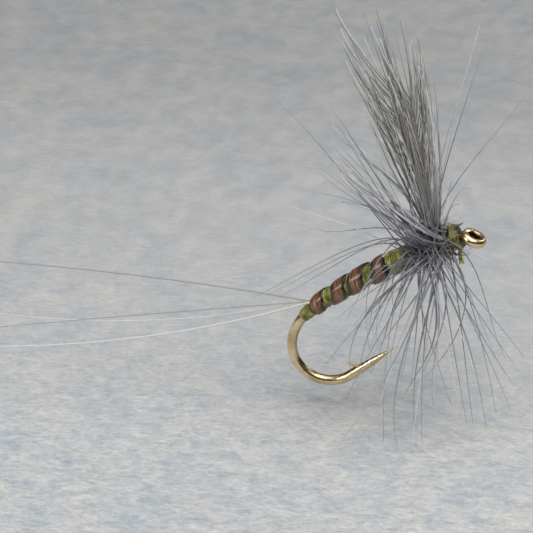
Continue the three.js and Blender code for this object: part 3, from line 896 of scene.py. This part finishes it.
def hackle():
    """The hackle wound in turns, each with its length of stem, its barbs and the down at their feet."""
    chance = random.Random(HACKLE_SEED)
    turns = [Strands() for _ in range(HACKLE_TURNS)]
    pitch = (HACKLE_TO - HACKLE_FROM) / HACKLE_TURNS
    for row, strands in enumerate(turns):
        start = HACKLE_TO - pitch * row
        stem = []
        for i in range(HACKLE_STEM_STEPS + 1):
            share = i / HACKLE_STEM_STEPS
            stem.append(beside_wire(start - pitch * share, HACKLE_RING, 2 * math.pi * share))
        # the stem is darker partly in its own colour, partly as painted shade deep in the collar
        strands.add(stem, [HACKLE_STEM_RADIUS] * len(stem), sides=8, shade=-0.9)
        for _ in range(FLUE_PER_TURN):
            flue(strands, start - pitch * chance.random(), chance)
    for sweep in HACKLE_SWEEPS:
        for _ in range(sweep["count"]):
            tip = Vector([chance.gauss(*pair) for pair in zip(sweep["tip"], sweep["scatter"])])
            bow = Vector([chance.gauss(side, sweep["loose"]) for side in sweep["bow"]])
            thick = sweep["thick"] * chance.uniform(0.75, 1.15)
            s = sweep["at"] + chance.uniform(-0.9, 0.9)
            hackle_barb(turns, s, tip, bow, thick, chance.random() ** 1.6, chance)
    for tip, lift, pale in STRAY_BARBS:
        facing = Vector(tip) + UP * STRAY_RISE
        thick = STRAY_RADIUS + STRAY_THICKENING * abs(lift)
        hackle_barb(turns, 1.5 - 0.15 * tip[0], Vector(tip), UP * lift, thick, pale, chance, facing)
    snipped_ends(turns[-1])
    for row, strands in enumerate(turns):
        made = strands.piece(f"hackle_turn_{row + 1}_barbs", HACKLE_FEATHER)
        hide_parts(f"hackle_turn_{row + 1}")
        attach(made, "dressed_hook")


def snipped_ends(strands):
    """Stumps of barbs that were cut off above the head."""
    for lean in (-0.3, 0.25, 0.6):
        start = HEAD_CENTRE + Vector((0.15 * lean, -0.25 + 0.2 * lean, 0.6))
        middle = start + Vector((0.12, 0.02, 0.22))
        end = start + Vector((0.25 + 0.15 * lean, 0.03, 0.4))
        strands.add([start, middle, end], (0.05, 0.045, 0.04), sides=6, shade=-0.6)


def hackle_barb(turns, s, tip, bow, thick, shade, chance, facing=None):
    """One barb: it stands out from the stem, then bends away to its tip. facing is the way it sets out,
    where that is not straight to its tip."""
    facing = facing or tip
    s = min(max(s, HACKLE_FROM + 0.02), HACKLE_TO - 0.02)
    row = min(int((HACKLE_TO - s) / (HACKLE_TO - HACKLE_FROM) * HACKLE_TURNS), HACKLE_TURNS - 1)
    straight = math.atan2(-facing.y, facing.z)
    beside = math.copysign(math.pi / 2, straight)
    angle = between(straight, beside, chance.uniform(0, 0.75)) + chance.gauss(0, 0.12)
    root = beside_wire(s, HACKLE_RING, angle)
    radial = (root - on_wire(s)[0]).normalized()
    end = HEAD_CENTRE + tip
    end.z = max(end.z, TIP_HEIGHT + chance.uniform(0, 0.25))
    end.y = min(max(end.y, -HACKLE_REACH), HACKLE_REACH)
    length = (end - root).length
    first = between(root, end, 0.3) * 0.45 + (root + radial * 0.3 * length) * 0.55 + bow
    second = between(root, end, 0.68) + bow * chance.uniform(-0.3, 1.1)
    for bend in (first, second):
        bend.z = max(bend.z, BEND_HEIGHT)
    line = bezier(root, first, second, end, HACKLE_BARB_POINTS)
    radii = tapered(thick, HAIR_TIP_RADIUS, len(line))
    turns[row].add(line, radii, sides=6, shade=shade, flat=0.75, side=radial.cross(UP) + FAR * 0.01)


def flue(strands, s, chance):
    """A short curl of down that lies back over the stem's turns."""
    angle = chance.uniform(0, 2 * math.pi)
    root = beside_wire(s, HACKLE_RING - 0.08, angle)
    middle, along, _ = on_wire(s)
    radial = (root - middle).normalized()
    around = along.cross(radial)
    drift = around * chance.gauss(0, 0.9) + along * chance.gauss(0, 0.6)
    length = chance.uniform(0.5, 1.1)
    first = root + radial * 0.35 * length
    second = first + radial * 0.15 * length + drift * 0.5 * length
    end = root + radial * chance.uniform(0.05, 0.5) * length + drift * length
    line = bezier(root, first, second, end, FLUE_POINTS)
    radii = tapered(chance.uniform(0.03, 0.055), HAIR_TIP_RADIUS, len(line))
    # darker tones: partly the down's own colour, partly painted shade among the barbs
    strands.add(line, radii, sides=5, shade=chance.uniform(-0.95, 0.75), flat=0.6)


# ---- floor and light ----
ROOM_GREYS = ((0.0, 0.35), (0.06, 0.35), (0.12, 0.03), (0.28, 0.05), (0.5, 0.3), (1.0, 0.9))  # height, grey
ROOM_STRENGTH = 0.45


def floor():
    """A wide sheet of paper under the fly."""
    half = 900
    corners = [Vector((x, y, 0)) for x, y in ((-half, -half), (half, -half), (half, half), (-half, half))]
    made = piece("floor", corners, [(0, 1, 2, 3)], paper())


def lamp(name, place, size, power, colour=(1, 1, 1)):
    """A square soft box that faces the fly."""
    data = bpy.data.lights.new(name, "AREA")
    data.size = size * MM
    data.energy = power
    data.color = colour
    made = bpy.data.objects.new(name, data)
    spot = Vector(place)
    made.location = spot * MM
    made.rotation_euler = spot.to_track_quat("Z", "Y").to_euler()
    bpy.context.scene.collection.objects.link(made)


def light():
    """Soft boxes in a room that is dark at eye level and bright overhead, for contrast on the wire."""
    lamp("key", (50, -45, 240), 240, 0.455)
    lamp("fill", (-260, -240, 160), 150, 0.42, (1, 0.98, 0.95))
    lamp("rim", (200, 260, 160), 120, 0.1)
    world = bpy.data.worlds.new("studio")
    world.use_nodes = True
    tree = world.node_tree
    way = tree.nodes.new("ShaderNodeTexCoord").outputs["Generated"]
    apart = tree.nodes.new("ShaderNodeSeparateXYZ")
    tree.links.new(way, apart.inputs[0])
    room = tree.nodes.new("ShaderNodeValToRGB")
    tree.links.new(apart.outputs["Z"], room.inputs["Fac"])
    for place, grey in ROOM_GREYS:
        mark = room.color_ramp.elements[0] if place == 0 else room.color_ramp.elements.new(place)
        mark.position = place
        mark.color = (grey, grey, 1.02 * grey, 1)
    tree.links.new(room.outputs["Color"], tree.nodes["Background"].inputs["Color"])
    tree.nodes["Background"].inputs["Strength"].default_value = ROOM_STRENGTH
    bpy.context.scene.world = world


bpy.context.scene.view_settings.view_transform = "Standard"
hook()
thread()
thread_end()
quill()
butts()
tail()
wing()
hackle()
floor()
light()
